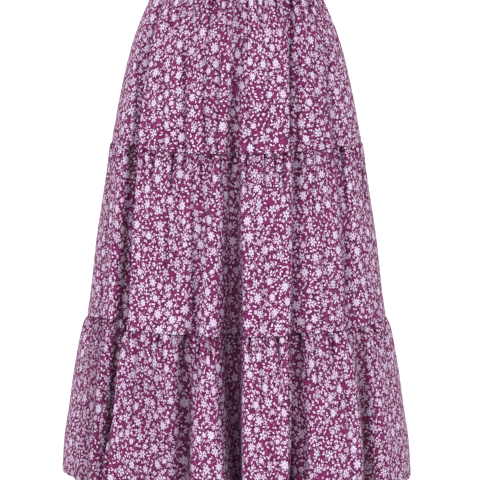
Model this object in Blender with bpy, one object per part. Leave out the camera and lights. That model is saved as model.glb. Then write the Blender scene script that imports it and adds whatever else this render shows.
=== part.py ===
"""A tiered midi skirt as worn: an elasticated waistband and three gathered tiers.

Metres, +Z up. The origin is the centre of the waistband, where the wearer holds the skirt up.
The front faces -Y. Angles run round the skirt from the centre front, towards +X.
Each tier is a front and a back panel, which meet at the side seams. A panel is a wall between
rings, and its columns run down the troughs and lips of the folds and of the gathers.
"""

import math
from collections import namedtuple

import bmesh
import bpy
import numpy as np

# Cloth and seams
WALL = 0.0014
SEAM_GAP = 0.0003

# Heights at the centre front, and how much higher each seam sits at the sides, over the hips
BAND_TOP = 0.0175
WAIST_SEAM = -0.0175
UPPER_SEAM = -0.2690
LOWER_SEAM = -0.5450
HEM = -0.7950
LEVELS = (WAIST_SEAM, UPPER_SEAM, LOWER_SEAM, HEM)
SIDE_RISE = (0.0, 0.0085, 0.0065, 0.0085)
HEM_LIFT_IN_FOLDS = 0.06

# The waistband's oval
BAND_BREADTH = 0.1180
BAND_FRONT = 0.0860
BAND_BACK = 0.0890
BAND_FLARE = 0.0030

# The outline: half the breadth, and how far the front and the back stand off the middle
Section = namedtuple("Section", "height half_breadth front back")
SECTIONS = (
    Section(WAIST_SEAM, 0.1210, 0.0890, 0.0920),
    Section(-0.0390, 0.1352, 0.1000, 0.1040),
    Section(-0.0770, 0.1520, 0.1120, 0.1170),
    Section(-0.1140, 0.1645, 0.1215, 0.1275),
    Section(-0.1900, 0.1822, 0.1370, 0.1440),
    Section(UPPER_SEAM, 0.1968, 0.1500, 0.1560),
    Section(-0.2840, 0.2002, 0.1530, 0.1585),
    Section(-0.3220, 0.2056, 0.1575, 0.1625),
    Section(-0.4170, 0.2204, 0.1700, 0.1740),
    Section(LOWER_SEAM, 0.2370, 0.1840, 0.1870),
    Section(-0.5620, 0.2440, 0.1905, 0.1935),
    Section(-0.6280, 0.2572, 0.2020, 0.2050),
    Section(-0.6860, 0.2654, 0.2110, 0.2140),
    Section(-0.7440, 0.2741, 0.2190, 0.2215),
    Section(HEM, 0.2775, 0.2220, 0.2245),
)

# The largest folds. Each is a trough that runs down the skirt. Its angle, depth and half width are
# given at the waist, the upper seam, the lower seam and the hem. Its bottom lies off to one side by
# its lean, a share of its depth, so that the cloth on that side laps over it. A higher squareness
# gives it steeper sides.
Fold = namedtuple("Fold", "angles depths_mm half_widths_mm lean squareness")
FOLDS = (
    Fold((-62, -57, -51, -52), (2, 13, 34, 46), (8, 9, 10, 9), 0.45, 2.6),
    Fold((-27, -26, -27, -28), (4, 4, 2, 3), (9, 12, 14, 16), 0.0, 2.0),
    Fold((-12, -13, -17.5, -19), (4, 5, 11, 20), (10, 12, 14, 14), 0.0, 2.0),
    Fold((4, -2, -2.5, -1), (5, 14, 38, 54), (6, 11, 15, 10), 0.15, 3.0),
    Fold((36, 29.5, 24.5, 20.5), (7, 9, 15, 32), (9, 11, 12, 10), -0.30, 2.4),
    Fold((60, 54, 51, 51), (2, 8, 10, 20), (9, 11, 13, 14), 0.10, 2.0),
    Fold((103, 105, 107, 105), (3, 9, 20, 32), (9, 11, 12, 12), 0.20, 2.4),
    Fold((121, 119, 122, 124), (4, 7, 14, 36), (8, 10, 11, 10), -0.25, 2.6),
    Fold((138, 142, 140, 143), (3, 6, 12, 20), (10, 12, 14, 14), 0.0, 2.0),
    Fold((160, 162, 165, 163), (4, 10, 28, 44), (8, 10, 11, 9), 0.20, 2.8),
    Fold((183, 186, 184, 187), (5, 6, 11, 24), (9, 12, 14, 13), 0.0, 2.0),
    Fold((214, 209, 207, 209), (3, 9, 19, 30), (9, 11, 12, 11), -0.25, 2.4),
    Fold((228, 231, 233, 230), (3, 7, 15, 38), (8, 10, 11, 10), 0.15, 2.6),
    Fold((256, 253, 254, 256), (3, 8, 17, 28), (9, 11, 13, 12), -0.20, 2.2),
)
LIP_SHARE = 0.07

# Where a seam or the hem is caught higher or lower, beside a fold
Catch = namedtuple("Catch", "level angle width_before width_after height")
CATCHES = (
    Catch(2, -54, 24, 4, 0.0120),
    Catch(3, -68, 30, 3, 0.0060),
    Catch(3, 76, 14, 20, -0.0050),
    Catch(2, 212, 5, 20, 0.0080),
    Catch(3, 120, 16, 4, 0.0060),
)

# Gathers under each seam, counted round the whole skirt. They deepen just below the seam and fade
# over about their spread. A trough's width and a ridge's edge are shares of their spacing.
Gathers = namedtuple("Gathers", "count depth spread seed")
WAIST_GATHERS = Gathers(52, 0.0048, 0.060, 3)
UPPER_GATHERS = Gathers(62, 0.0056, 0.036, 11)
LOWER_GATHERS = Gathers(70, 0.0062, 0.036, 23)
GATHER_RISE = 0.0035
PUFF = 0.0015
TROUGH_WIDTH = 0.20
RIDGE_EDGE = 0.30
BAND_RUCHE = 0.0012

# Rows of points down each tier from its top seam: two follow the gathers, the rest the folds
GATHER_ROWS = (0.007, 0.026)
FOLD_ROWS = (0.068, 0.134, 0.200)

# Where columns of points lie across a fold, in half widths, how many degrees apart they may be
# between folds, and how close two may come
SHALLOW = (-1.7, -0.8, 0.0, 0.8, 1.7)
DEEP = (-2.0, -1.35, -0.95, -0.55, 0.0, 0.55, 0.95, 1.35, 2.0)
COLUMN_TURN = 8
LEAST_SPACING = 0.0016

# The three tiers, from the waist down
Tier = namedtuple("Tier", "name gathers across_folds")
TIERS = (
    Tier("upper_tier", WAIST_GATHERS, SHALLOW),
    Tier("middle_tier", UPPER_GATHERS, DEEP),
    Tier("lower_tier", LOWER_GATHERS, DEEP),
)

SAMPLES = 1600
FRONT = (-90.0, 90.0)
BACK = (90.0, 270.0)

CLOTH_COLOUR = (0.385, 0.185, 0.330, 1.0)
BAND_COLOUR = (0.360, 0.170, 0.305, 1.0)
CLOTH_ROUGHNESS = 0.85
SMOOTH_ANGLE = math.radians(50)


def uneven(index, seed):
    """A fixed number from -1 to 1 for each index, so that repeats aren't even."""
    turn = math.sin(index * 12.9898 + seed * 78.233) * 43758.5453
    return 2 * (turn - math.floor(turn)) - 1


def eased(at, places, values):
    """A smooth curve through the values, without overshoot. The places run downwards or upwards."""
    order = np.argsort(places)
    x = np.asarray(places, float)[order]
    y = np.asarray(values, float)[order]
    step = np.diff(x)
    slope = np.diff(y) / step
    tangent = np.zeros_like(y)
    same_way = slope[:-1] * slope[1:] > 0
    both = slope[:-1] + slope[1:]
    tangent[1:-1][same_way] = 2 * slope[:-1][same_way] * slope[1:][same_way] / both[same_way]
    tangent[0], tangent[-1] = slope[0], slope[-1]
    i = np.clip(np.searchsorted(x, at) - 1, 0, len(step) - 1)
    t = np.clip((at - x[i]) / step[i], 0, 1)
    first = y[i] * (1 + 2 * t) * (1 - t) ** 2 + y[i + 1] * t * t * (3 - 2 * t)
    return first + step[i] * (tangent[i] * t * (1 - t) ** 2 - tangent[i + 1] * t * t * (1 - t))


def section_at(height):
    """Half the breadth, the front and the back of the outline at a height."""
    heights = [s.height for s in SECTIONS]
    return [float(eased(height, heights, [s[i] for s in SECTIONS])) for i in (1, 2, 3)]


def oval(half_breadth, front, back, angles):
    """Points and outward directions round an oval."""
    depth = np.where(np.cos(angles) > 0, front, back)
    points = np.stack([half_breadth * np.sin(angles), -depth * np.cos(angles)], axis=1)
    out = np.stack([depth * np.sin(angles), -half_breadth * np.cos(angles)], axis=1)
    return points, out / np.linalg.norm(out, axis=1, keepdims=True)


def across(angles, centre):
    """The turn from a centre to each angle, in radians from -pi to pi."""
    return (angles - centre + math.pi) % (2 * math.pi) - math.pi


def fold_at(fold, height):
    """A fold's angle in radians, and its depth and half width in metres, at a height."""
    angle, depth, width = (float(eased(height, LEVELS, values)) for values in fold[:3])
    return math.radians(angle), depth / 1000, width / 1000


def reach_at(centre, half_breadth, depth):
    """How far along the oval one radian reaches, at an angle."""
    return math.hypot(half_breadth * math.cos(centre), depth * math.sin(centre))


def fold_pull(height, angles, half_breadth, depth):
    """How far the folds pull the cloth in, and how far along the oval, at a height."""
    inward = np.zeros_like(angles)
    sideways = np.zeros_like(angles)
    for fold in FOLDS:
        centre, deep, wide = fold_at(fold, height)
        reach = np.abs(across(angles, centre)) * reach_at(centre, half_breadth, depth)
        trough = deep * np.exp(-((reach / wide) ** fold.squareness))
        lip = LIP_SHARE * deep * np.exp(-(((reach - 2.1 * wide) / (0.8 * wide)) ** 2))
        inward += trough - lip
        sideways += fold.lean * trough
    return inward, sideways


def ring(height, span):
    """One half of the skirt's outline at a height: dense points along it, how deep in a fold each
    lies, and how far along the half each is, in metres."""
    half_breadth, front, back = section_at(height)
    angles = np.radians(np.linspace(span[0], span[1], SAMPLES))
    points, out = oval(half_breadth, front, back, angles)
    inward, sideways = fold_pull(height, angles, half_breadth, (front + back) / 2)
    tangent = np.stack([-out[:, 1], out[:, 0]], axis=1)
    points = points - inward[:, None] * out + sideways[:, None] * tangent
    along = np.concatenate([[0], np.cumsum(np.linalg.norm(np.diff(points, axis=0), axis=1))])
    return points, inward, along


def outward(points):
    """The direction out of the skirt at each point of a row, in plan. It is straight sideways at
    the row's ends, on the side seams."""
    run = np.gradient(points, axis=0)
    out = np.stack([run[:, 1], -run[:, 0]], axis=1)
    out[[0, -1]] = [[math.copysign(1.0, x), 0.0] for x in points[[0, -1], 0]]
    return out / np.linalg.norm(out, axis=1, keepdims=True)


def gather_places(gathers):
    """Where the gathers of one half lie along its seam, from 0 to 1."""
    count = gathers.count // 2
    return [(j + 0.5 + 0.24 * uneven(j, gathers.seed)) / count for j in range(count)]


def gather_relief(along, below, gathers):
    """How far the gathers push the cloth out or in at a distance below their seam."""
    places = gather_places(gathers)
    spacing = 1 / len(places)
    relief = np.zeros_like(along)
    for j, place in enumerate(places):
        deep = gathers.depth * (1 + 0.35 * uneven(j, gathers.seed + 1))
        spread = gathers.spread * (1 + 0.6 * uneven(j, gathers.seed + 2))
        strength = (1 - math.exp(-below / GATHER_RISE)) * math.exp(-((below / spread) ** 1.4))
        reach = (along - place) / (TROUGH_WIDTH * spacing)
        relief -= deep * strength * np.exp(-(reach**2))
    puff = PUFF * (1 - math.exp(-below / GATHER_RISE)) * math.exp(-below / gathers.spread)
    return relief + puff


def gather_columns(gathers):
    """Places along one half, from 0 to 1: one on each gather's trough and two on each ridge."""
    troughs = gather_places(gathers)
    ridges = []
    for here, after in zip(troughs, troughs[1:]):
        ridges += [here + RIDGE_EDGE * (after - here), after - RIDGE_EDGE * (after - here)]
    return np.sort([0.0, *troughs, *ridges, 1.0])


def fold_columns(height, span, tier, along):
    """Places along one half, from 0 to 1, that follow its folds down a tier."""
    half_breadth, front, back = section_at(height)
    start, end = math.radians(span[0]), math.radians(span[1])
    angles, edges = [start, end], [(span[0], start, start)]
    for fold in FOLDS:
        if span[0] < fold.angles[0] < span[1]:
            centre, _, wide = fold_at(fold, height)
            turn = wide / reach_at(centre, half_breadth, (front + back) / 2)
            angles += [centre + turn * place for place in tier.across_folds]
            side = turn * tier.across_folds[-1]
            edges.append((fold.angles[0], centre - side, centre + side))
    edges.append((span[1], end, end))
    for before, after in zip(edges, edges[1:]):
        count = 1 + int((after[0] - before[0]) // COLUMN_TURN)
        for k in range(1, count):
            angles.append(before[2] + (after[1] - before[2]) * k / count)
    share = np.interp(np.sort(angles), np.linspace(start, end, SAMPLES), along / along[-1])
    least = LEAST_SPACING / along[-1]
    for k in range(1, len(share)):
        share[k] = max(share[k], share[k - 1] + least)
    share[-1] = 1.0
    for k in range(len(share) - 2, 0, -1):
        share[k] = min(share[k], share[k + 1] - least)
    return share


def level_height(level, points):
    """The height of a seam or the hem at each point of a row. It is higher at the sides."""
    half_breadth, front, back = section_at(LEVELS[level])
    angles = np.arctan2(points[:, 0] / half_breadth, -points[:, 1] / ((front + back) / 2))
    height = LEVELS[level] + SIDE_RISE[level] * np.sin(angles) ** 2
    for catch in CATCHES:
        if catch.level == level:
            away = np.degrees(across(angles, math.radians(catch.angle)))
            width = np.where(away < 0, catch.width_before, catch.width_after)
            height += catch.height * np.exp(-((away / width) ** 2))
    return height


Row = namedtuple("Row", "follows places outer inner")


def wall(follows, places, outer, span):
    """A row of a panel's wall: what its columns follow, their places, and its points outside and
    inside. Its ends stop short of the side seams."""
    outer[[0, -1], 1] = SEAM_GAP / 2 * (-1 if span == FRONT else 1)
    inner = outer.copy()
    inner[:, :2] -= WALL * outward(outer[:, :2])
    return Row(follows, places, outer, inner)


def tier_rows(level, tier, span):
    """The rows of one tier's panel, from the seam at its top down."""
    length = LEVELS[level] - LEVELS[level + 1]
    rows = []
    for drop in (0.0, *GATHER_ROWS, *FOLD_ROWS, length):
        height = LEVELS[level] - drop
        points, inward, along = ring(height, span)
        share = along / along[-1]
        follows = "gathers" if drop in GATHER_ROWS else "folds"
        if follows == "gathers":
            places = gather_columns(tier.gathers)
        else:
            places = fold_columns(height, span, tier, along)
        plan = np.stack([np.interp(places, share, points[:, i]) for i in (0, 1)], axis=1)
        plan += gather_relief(places, drop, tier.gathers)[:, None] * outward(plan)
        top = level_height(level, plan) - SEAM_GAP / 2
        bottom = level_height(level + 1, plan)
        if LEVELS[level + 1] == HEM:
            bottom += HEM_LIFT_IN_FOLDS * np.maximum(np.interp(places, share, inward), 0)
        else:
            bottom += SEAM_GAP / 2
        rise = top + (bottom - top) * drop / length
        rows.append(wall(follows, places, np.column_stack([plan, rise]), span))
    return rows


def band_rows(span):
    """The rows of one half of the waistband, ruched by its elastic."""
    places = gather_columns(WAIST_GATHERS)
    angles = np.radians(span[0] + (span[1] - span[0]) * places)
    bottom = WAIST_SEAM + SEAM_GAP / 2
    rows = []
    for share, puff in ((0.0, 0.3), (0.5, 1.0), (1.0, 0.3)):
        height = BAND_TOP + (bottom - BAND_TOP) * share
        grow = BAND_FLARE * share
        plan, out = oval(BAND_BREADTH + grow, BAND_FRONT + grow, BAND_BACK + grow, angles)
        trough = np.isin(places, gather_places(WAIST_GATHERS))
        plan += BAND_RUCHE * puff * np.where(trough, -1.0, 1.0)[:, None] * out
        points = np.column_stack([plan, np.full(len(places), height)])
        rows.append(wall("gathers", places, points, span))
    return rows


def strip(above, below):
    """The faces between two rows, as (row, column) corners."""
    last_above, last_below = len(above.places) - 1, len(below.places) - 1
    if above.follows == below.follows:
        return [((0, i), (1, i), (1, i + 1), (0, i + 1)) for i in range(last_above)]
    faces, i, j = [], 0, 0
    while i < last_above or j < last_below:
        done_below = j == last_below
        if done_below or (i < last_above and above.places[i + 1] <= below.places[j + 1]):
            faces.append(((0, i), (1, j), (0, i + 1)))
            i += 1
        else:
            faces.append(((0, i), (1, j), (1, j + 1)))
            j += 1
    return faces


def panel(name, rows, material):
    """One piece of cloth as a closed wall between its outer and inner points."""
    mesh = bmesh.new()
    outer = [[mesh.verts.new(point) for point in row.outer] for row in rows]
    inner = [[mesh.verts.new(point) for point in row.inner] for row in rows]
    for r in range(len(rows) - 1):
        for corners in strip(rows[r], rows[r + 1]):
            mesh.faces.new([outer[r + down][i] for down, i in corners])
            mesh.faces.new([inner[r + down][i] for down, i in reversed(corners)])
        for end in (0, -1):
            mesh.faces.new([outer[r][end], inner[r][end], inner[r + 1][end], outer[r + 1][end]])
    for r in (0, -1):
        for i in range(len(outer[r]) - 1):
            mesh.faces.new([outer[r][i], outer[r][i + 1], inner[r][i + 1], inner[r][i]])
    bmesh.ops.recalc_face_normals(mesh, faces=mesh.faces)
    data = bpy.data.meshes.new(name)
    mesh.to_mesh(data)
    mesh.free()
    data.shade_smooth()
    data.set_sharp_from_angle(angle=SMOOTH_ANGLE)
    data.materials.append(material)
    made = bpy.data.objects.new(name, data)
    bpy.context.scene.collection.objects.link(made)
    return made


def cloth_material(name, colour):
    """Matt printed cloth, as its mean colour."""
    material = bpy.data.materials.new(name)
    material.use_nodes = True
    shader = material.node_tree.nodes["Principled BSDF"]
    shader.inputs["Base Color"].default_value = colour
    shader.inputs["Roughness"].default_value = CLOTH_ROUGHNESS
    shader.inputs["Metallic"].default_value = 0.0
    material.diffuse_color = colour
    return material


def main():
    """Clears the scene and makes each piece of the skirt."""
    for old in list(bpy.data.objects):
        bpy.data.objects.remove(old)
    cloth = cloth_material("printed_cloth", CLOTH_COLOUR)
    band = cloth_material("waistband_cloth", BAND_COLOUR)
    for side, span in (("front", FRONT), ("back", BACK)):
        panel(f"waistband_{side}", band_rows(span), band)
        for level, tier in enumerate(TIERS):
            panel(f"{tier.name}_{side}", tier_rows(level, tier, span), cloth)


main()
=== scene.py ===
"""A tiered midi skirt in plum ditsy-print cloth, hanging as it does when worn.

The skirt has an elasticated waistband and three gathered tiers, each cut as a front and a back.
Everything is in metres, with +Z up and the front towards -Y. Angles run round the skirt from the
centre front, towards +X, in degrees unless a name says otherwise.
"""

import logging
import math
from dataclasses import astuple, dataclass, field
from enum import Enum
from typing import Iterable, Optional, Sequence, Union

import bpy
import numpy as np
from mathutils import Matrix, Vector


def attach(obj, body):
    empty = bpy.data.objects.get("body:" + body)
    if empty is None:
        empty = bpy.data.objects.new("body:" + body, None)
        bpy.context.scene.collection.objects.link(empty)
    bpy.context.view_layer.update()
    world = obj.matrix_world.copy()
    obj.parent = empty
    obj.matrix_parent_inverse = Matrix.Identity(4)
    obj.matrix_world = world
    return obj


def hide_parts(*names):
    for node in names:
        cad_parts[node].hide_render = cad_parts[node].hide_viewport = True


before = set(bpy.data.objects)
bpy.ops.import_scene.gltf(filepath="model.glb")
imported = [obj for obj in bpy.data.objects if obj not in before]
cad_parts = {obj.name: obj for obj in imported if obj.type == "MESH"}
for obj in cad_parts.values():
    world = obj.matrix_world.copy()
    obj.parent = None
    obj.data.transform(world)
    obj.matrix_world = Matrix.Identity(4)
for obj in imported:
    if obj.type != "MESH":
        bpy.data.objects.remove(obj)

log = logging.getLogger("tiered_skirt")

WAIST_SEAM = -0.0175
UPPER_SEAM = -0.2690
LOWER_SEAM = -0.5450
HEM = -0.7950
LEVELS = (WAIST_SEAM, UPPER_SEAM, LOWER_SEAM, HEM)
CLOTH_THICKNESS = 0.0005

Colour = tuple[float, float, float, float]
Span = tuple[float, float]
Array = np.ndarray
Grid = tuple[Array, Array, Array]
ClothSides = tuple[bpy.types.Material, bpy.types.Material]

WHITE: Colour = (1.0, 1.0, 1.0, 1.0)


def from_display(*values: float) -> Colour:
    """Gives the linear, opaque colour that shows as three display values.

    Args:
        values: Red, green and blue, from 0 to 255.

    Returns:
        The colour.
    """
    shares = [value / 255 for value in values]
    linear = [s / 12.92 if s <= 0.04045 else ((s + 0.055) / 1.055) ** 2.4 for s in shares]
    return (linear[0], linear[1], linear[2], 1.0)


class Side(Enum):
    """The two halves of the skirt, between its side seams."""

    FRONT = "front"
    BACK = "back"

    @property
    def span(self) -> Span:
        """The angles of this half's two side seams."""
        return (-90.0, 90.0) if self is Side.FRONT else (90.0, 270.0)


# The form that the cloth hangs in


@dataclass(frozen=True)
class Section:
    """The outline at one height: half the breadth, and how far the front and back stand off."""

    height: float
    half_breadth: float
    front: float
    back: float


@dataclass(frozen=True)
class Fold:
    """A trough that runs down the whole skirt, given at the waist, the two seams and the hem."""

    angles: tuple[float, float, float, float]
    depths_mm: tuple[float, float, float, float]
    half_widths_mm: tuple[float, float, float, float]
    lean: float
    squareness: float


@dataclass(frozen=True)
class Catch:
    """A place where a seam or the hem is caught higher or lower, beside a fold."""

    level: int
    angle: float
    width_before: float
    width_after: float
    height: float


def eased(at: Array, places: Sequence[float], values: Sequence[float]) -> Array:
    """Draws a smooth curve through some values, without overshoot.

    Args:
        at: Where the curve is read.
        places: Where the values are, in rising or falling order.
        values: The values at those places.

    Returns:
        The curve's height at each place asked for.
    """
    order = np.argsort(places)
    x = np.asarray(places, float)[order]
    y = np.asarray(values, float)[order]
    step = np.diff(x)
    slope = np.diff(y) / step
    tangent = np.zeros_like(y)
    same_way = slope[:-1] * slope[1:] > 0
    both = slope[:-1] + slope[1:]
    tangent[1:-1][same_way] = 2 * slope[:-1][same_way] * slope[1:][same_way] / both[same_way]
    tangent[0], tangent[-1] = slope[0], slope[-1]
    i = np.clip(np.searchsorted(x, at) - 1, 0, len(step) - 1)
    t = np.clip((at - x[i]) / step[i], 0, 1)
    first = y[i] * (1 + 2 * t) * (1 - t) ** 2 + y[i + 1] * t * t * (3 - 2 * t)
    return first + step[i] * (tangent[i] * t * (1 - t) ** 2 - tangent[i + 1] * t * t * (1 - t))


def bell(away: Array, width: Union[float, Array], power: float = 2) -> Array:
    """Falls smoothly from 1 at no distance to almost 0 at twice the width."""
    return np.exp(-((away / width) ** power))


def across(angles: Array, centre: Union[float, Array]) -> Array:
    """Measures the turns from a centre to some angles, from -pi to pi, all in radians."""
    return (angles - centre + math.pi) % (2 * math.pi) - math.pi


@dataclass
class Drape:
    """The hollow form of the worn skirt: its outline, its largest folds and its seam heights."""

    sections: tuple[Section, ...] = (
        Section(WAIST_SEAM, 0.1210, 0.0890, 0.0920),
        Section(-0.0390, 0.1352, 0.1000, 0.1040),
        Section(-0.0770, 0.1520, 0.1120, 0.1170),
        Section(-0.1140, 0.1645, 0.1215, 0.1275),
        Section(-0.1900, 0.1822, 0.1370, 0.1440),
        Section(UPPER_SEAM, 0.1968, 0.1500, 0.1560),
        Section(-0.2840, 0.2002, 0.1530, 0.1585),
        Section(-0.3220, 0.2056, 0.1575, 0.1625),
        Section(-0.4170, 0.2204, 0.1700, 0.1740),
        Section(LOWER_SEAM, 0.2370, 0.1840, 0.1870),
        Section(-0.5620, 0.2440, 0.1905, 0.1935),
        Section(-0.6280, 0.2572, 0.2020, 0.2050),
        Section(-0.6860, 0.2654, 0.2110, 0.2140),
        Section(-0.7440, 0.2741, 0.2190, 0.2215),
        Section(HEM, 0.2775, 0.2220, 0.2245),
    )
    folds: tuple[Fold, ...] = (
        Fold((-62, -55.5, -50.5, -52), (2, 21, 36, 46), (8, 10, 11, 9), 0.40, 3.0),
        Fold((-27, -26, -27, -28), (4, 4, 2, 3), (9, 12, 14, 16), 0.0, 2.0),
        Fold((-12, -13, -17.5, -19), (4, 5, 11, 20), (10, 12, 14, 14), 0.0, 2.0),
        Fold((4, -2, -2.5, -1), (5, 14, 38, 54), (6, 11, 15, 10), 0.15, 3.0),
        Fold((36, 29.5, 24.5, 20.5), (7, 9, 15, 32), (9, 11, 12, 10), -0.30, 2.4),
        Fold((60, 54, 51, 51), (2, 8, 10, 20), (9, 11, 13, 14), 0.10, 2.0),
        Fold((103, 105, 107, 105), (3, 9, 20, 32), (9, 11, 12, 12), 0.20, 2.4),
        Fold((121, 119, 122, 124), (4, 7, 14, 36), (8, 10, 11, 10), -0.25, 2.6),
        Fold((138, 142, 140, 143), (3, 6, 12, 20), (10, 12, 14, 14), 0.0, 2.0),
        Fold((160, 162, 165, 163), (4, 10, 28, 44), (8, 10, 11, 9), 0.20, 2.8),
        Fold((183, 186, 184, 187), (5, 6, 11, 24), (9, 12, 14, 13), 0.0, 2.0),
        Fold((214, 209, 207, 209), (3, 9, 19, 30), (9, 11, 12, 11), -0.25, 2.4),
        Fold((228, 231, 233, 230), (3, 7, 15, 38), (8, 10, 11, 10), 0.15, 2.6),
        Fold((256, 253, 254, 256), (3, 8, 17, 28), (9, 11, 13, 12), -0.20, 2.2),
    )
    catches: tuple[Catch, ...] = (
        Catch(2, -54, 24, 4, 0.0120),
        Catch(3, -68, 30, 3, 0.0060),
        Catch(3, 76, 14, 20, -0.0050),
        Catch(2, 212, 5, 20, 0.0080),
        Catch(3, 120, 16, 4, 0.0060),
    )
    side_rise: tuple[float, float, float, float] = (0.0, 0.0085, 0.0065, 0.0085)
    lip_share: float = 0.07
    samples: int = 2400

    def section_at(self, heights: Array) -> tuple[Array, Array, Array]:
        """Reads the outline between the sections.

        Args:
            heights: Heights at the centre front.

        Returns:
            Half the breadth, the front and the back at each height.
        """
        places, breadths, fronts, backs = zip(*map(astuple, self.sections))
        read = [eased(heights, places, values) for values in (breadths, fronts, backs)]
        return read[0], read[1], read[2]

    def pull(
        self, heights: Array, angles: Array, breadth: Array, depth: Array
    ) -> tuple[Array, Array]:
        """Adds up how far the folds pull the cloth.

        Args:
            heights: A column of heights.
            angles: A row of angles, in radians.
            breadth: Half the breadth at each height, as a column.
            depth: Half the depth at each height, as a column.

        Returns:
            How far each point goes in, and how far it goes sideways.
        """
        inward = np.zeros((len(heights), angles.shape[1]))
        sideways = np.zeros_like(inward)
        for fold in self.folds:
            centre = np.radians(eased(heights, LEVELS, fold.angles))
            deep = eased(heights, LEVELS, fold.depths_mm) / 1000
            wide = eased(heights, LEVELS, fold.half_widths_mm) / 1000
            radian = np.hypot(breadth * np.cos(centre), depth * np.sin(centre))
            reach = np.abs(across(angles, centre)) * radian
            trough = deep * bell(reach, wide, fold.squareness)
            lip = self.lip_share * deep * bell(reach - 2.1 * wide, 0.8 * wide)
            inward += trough - lip
            sideways += fold.lean * trough
        return inward, sideways

    def rings(
        self, heights: Array, side: Side
    ) -> tuple[Array, Array, Array, Array]:
        """Draws one half of the outline at each height, as dense points.

        Args:
            heights: The heights.
            side: Which half.

        Returns:
            The points and the outward directions in plan, how deep in a fold each point lies,
            and how far along its ring each is, in metres.
        """
        column = np.asarray(heights, float)[:, None]
        angles = np.radians(np.linspace(*side.span, self.samples))[None, :]
        breadth, front, back = self.section_at(column)
        depth = np.where(np.cos(angles) > 0, front, back)
        points = np.stack([breadth * np.sin(angles), -depth * np.cos(angles)], axis=2)
        out = np.stack([depth * np.sin(angles), -breadth * np.cos(angles)], axis=2)
        out /= np.linalg.norm(out, axis=2, keepdims=True)
        inward, sideways = self.pull(column, angles, breadth, (front + back) / 2)
        tangent = np.stack([-out[:, :, 1], out[:, :, 0]], axis=2)
        points = points - inward[:, :, None] * out + sideways[:, :, None] * tangent
        run = np.gradient(points, axis=1)
        facing = np.stack([run[:, :, 1], -run[:, :, 0]], axis=2)
        facing[:, [0, -1]] = out[:, [0, -1]]
        facing /= np.linalg.norm(facing, axis=2, keepdims=True)
        steps = np.linalg.norm(np.diff(points, axis=1), axis=2)
        along = np.concatenate([np.zeros((len(steps), 1)), np.cumsum(steps, axis=1)], axis=1)
        return points, facing, inward, along

    def level_height(self, level: int, plan: Array) -> Array:
        """Gives the height of a seam or the hem where the cloth passes.

        Args:
            level: Which of the levels, from the waist seam down.
            plan: Points in plan.

        Returns:
            The height at each point.
        """
        breadth, front, back = self.section_at(np.array([LEVELS[level]]))
        angles = np.arctan2(
            plan[..., 0] / breadth[0], -plan[..., 1] / ((front[0] + back[0]) / 2)
        )
        height = LEVELS[level] + self.side_rise[level] * np.sin(angles) ** 2
        for catch in self.catches:
            if catch.level == level:
                away = np.degrees(across(angles, math.radians(catch.angle)))
                width = np.where(away < 0, catch.width_before, catch.width_after)
                height = height + catch.height * bell(away, width)
        return height


# Shader maths


class Signal:
    """A socket of a material, to which Python's operators add Math or Vector Math nodes."""

    def __init__(self, bench: "Bench", socket: bpy.types.NodeSocket) -> None:
        """Wraps an output socket.

        Args:
            bench: Where new nodes are made.
            socket: The output that carries the number, vector or colour.
        """
        self.bench = bench
        self.socket = socket

    def __add__(self, other: "Input") -> "Signal":
        """Adds."""
        return self.bench.maths("ADD", self, other)

    def __radd__(self, other: "Input") -> "Signal":
        """Adds, with the plain value first."""
        return self.bench.maths("ADD", other, self)

    def __sub__(self, other: "Input") -> "Signal":
        """Subtracts."""
        return self.bench.maths("SUBTRACT", self, other)

    def __rsub__(self, other: "Input") -> "Signal":
        """Subtracts from a plain value."""
        return self.bench.maths("SUBTRACT", other, self)

    def __mul__(self, other: "Input") -> "Signal":
        """Multiplies."""
        return self.bench.maths("MULTIPLY", self, other)

    def __rmul__(self, other: "Input") -> "Signal":
        """Multiplies, with the plain value first."""
        return self.bench.maths("MULTIPLY", other, self)

    def __truediv__(self, other: "Input") -> "Signal":
        """Divides."""
        return self.bench.maths("DIVIDE", self, other)

    def __rtruediv__(self, other: "Input") -> "Signal":
        """Divides a plain value by this."""
        return self.bench.maths("DIVIDE", other, self)

    def __pow__(self, other: "Input") -> "Signal":
        """Raises to a power."""
        return self.bench.maths("POWER", self, other)

    def __lt__(self, other: "Input") -> "Signal":
        """Is 1 where this is the smaller."""
        return self.bench.maths("LESS_THAN", self, other)

    def fade(self, full: float, gone: float) -> "Signal":
        """Goes smoothly from 1, where the value is full, to 0, where it is gone."""
        made = self.bench.node(
            "ShaderNodeMapRange",
            {"interpolation_type": "SMOOTHSTEP"},
            {"Value": self, "From Min": full, "From Max": gone, "To Min": 1.0, "To Max": 0.0},
        )
        return Signal(self.bench, made.outputs["Result"])

    def parts(self) -> list["Signal"]:
        """Splits a vector into its three numbers."""
        made = self.bench.node("ShaderNodeSeparateXYZ", {}, {"Vector": self})
        return [Signal(self.bench, output) for output in made.outputs]

    def under(self, mask: "Input", other: "Input") -> "Signal":
        """Lays another colour over this one where a mask is 1.

        Args:
            mask: How much of the other colour shows.
            other: The colour on top.

        Returns:
            The mixed colour.
        """
        made = self.bench.node(
            "ShaderNodeMix",
            {"data_type": "RGBA"},
            {"Factor_Float": mask, "A_Color": self, "B_Color": other},
        )
        mixed = next(s for s in made.outputs if s.identifier == "Result_Color")
        return Signal(self.bench, mixed)


Input = Union[Signal, float, Sequence[float]]


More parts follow.
